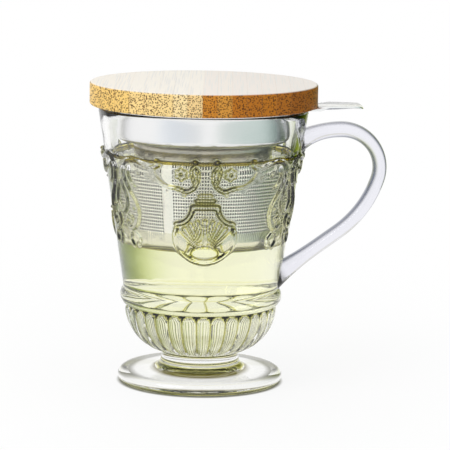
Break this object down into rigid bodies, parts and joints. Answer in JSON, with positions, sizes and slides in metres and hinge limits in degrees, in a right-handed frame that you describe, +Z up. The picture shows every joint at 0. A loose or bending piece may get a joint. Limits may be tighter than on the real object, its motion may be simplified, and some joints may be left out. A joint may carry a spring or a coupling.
{
  "type": "lidded tea mug with infuser",
  "caption": "Footed pressed-glass tea mug with an ear handle, a lift-out perforated steel infuser and a laminated bamboo lid that lifts off.",
  "frame": {"origin": "centre of the mug's foot, in the plane that the foot rests on", "axes": "+Z up along the mug's own axis, +X towards the handle, -Y towards the viewer of the picture"},
  "size_m": [0.1242, 0.095, 0.1265],
  "materials": {
    "glass": "clear pressed soda-lime glass, fire polished",
    "steel": "brushed stainless sheet",
    "bamboo": "laminated bamboo, sanded and oiled",
    "silicone": "matt translucent silicone"
  },
  "bodies": {
    "mug": {"glass_mug": "glass", "glass_handle": "glass"},
    "infuser": {"flange_ring": "steel", "collar_cup": "steel", "basket_wall": "steel", "basket_base": "steel"},
    "lid": {"bamboo_strip_01": "bamboo", "bamboo_strip_02": "bamboo", "bamboo_strip_03": "bamboo", "bamboo_strip_04": "bamboo", "bamboo_strip_05": "bamboo", "bamboo_strip_06": "bamboo", "bamboo_strip_07": "bamboo", "bamboo_strip_08": "bamboo", "bamboo_strip_09": "bamboo", "bamboo_strip_10": "bamboo", "bamboo_strip_11": "bamboo", "bamboo_strip_12": "bamboo", "bamboo_strip_13": "bamboo", "bamboo_strip_14": "bamboo", "bamboo_strip_15": "bamboo", "bamboo_strip_16": "bamboo", "lid_plug": "bamboo", "lid_seal": "silicone"}
  },
  "joints": [
    {"name": "infuser_lift", "type": "slide", "parent": "mug", "child": "infuser", "axis": [0, 0, 1], "range_m": [0, 0.07]},
    {"name": "lid_lift", "type": "slide", "parent": "infuser", "child": "lid", "axis": [0, 0, 1], "range_m": [0, 0.03]}
  ]
}
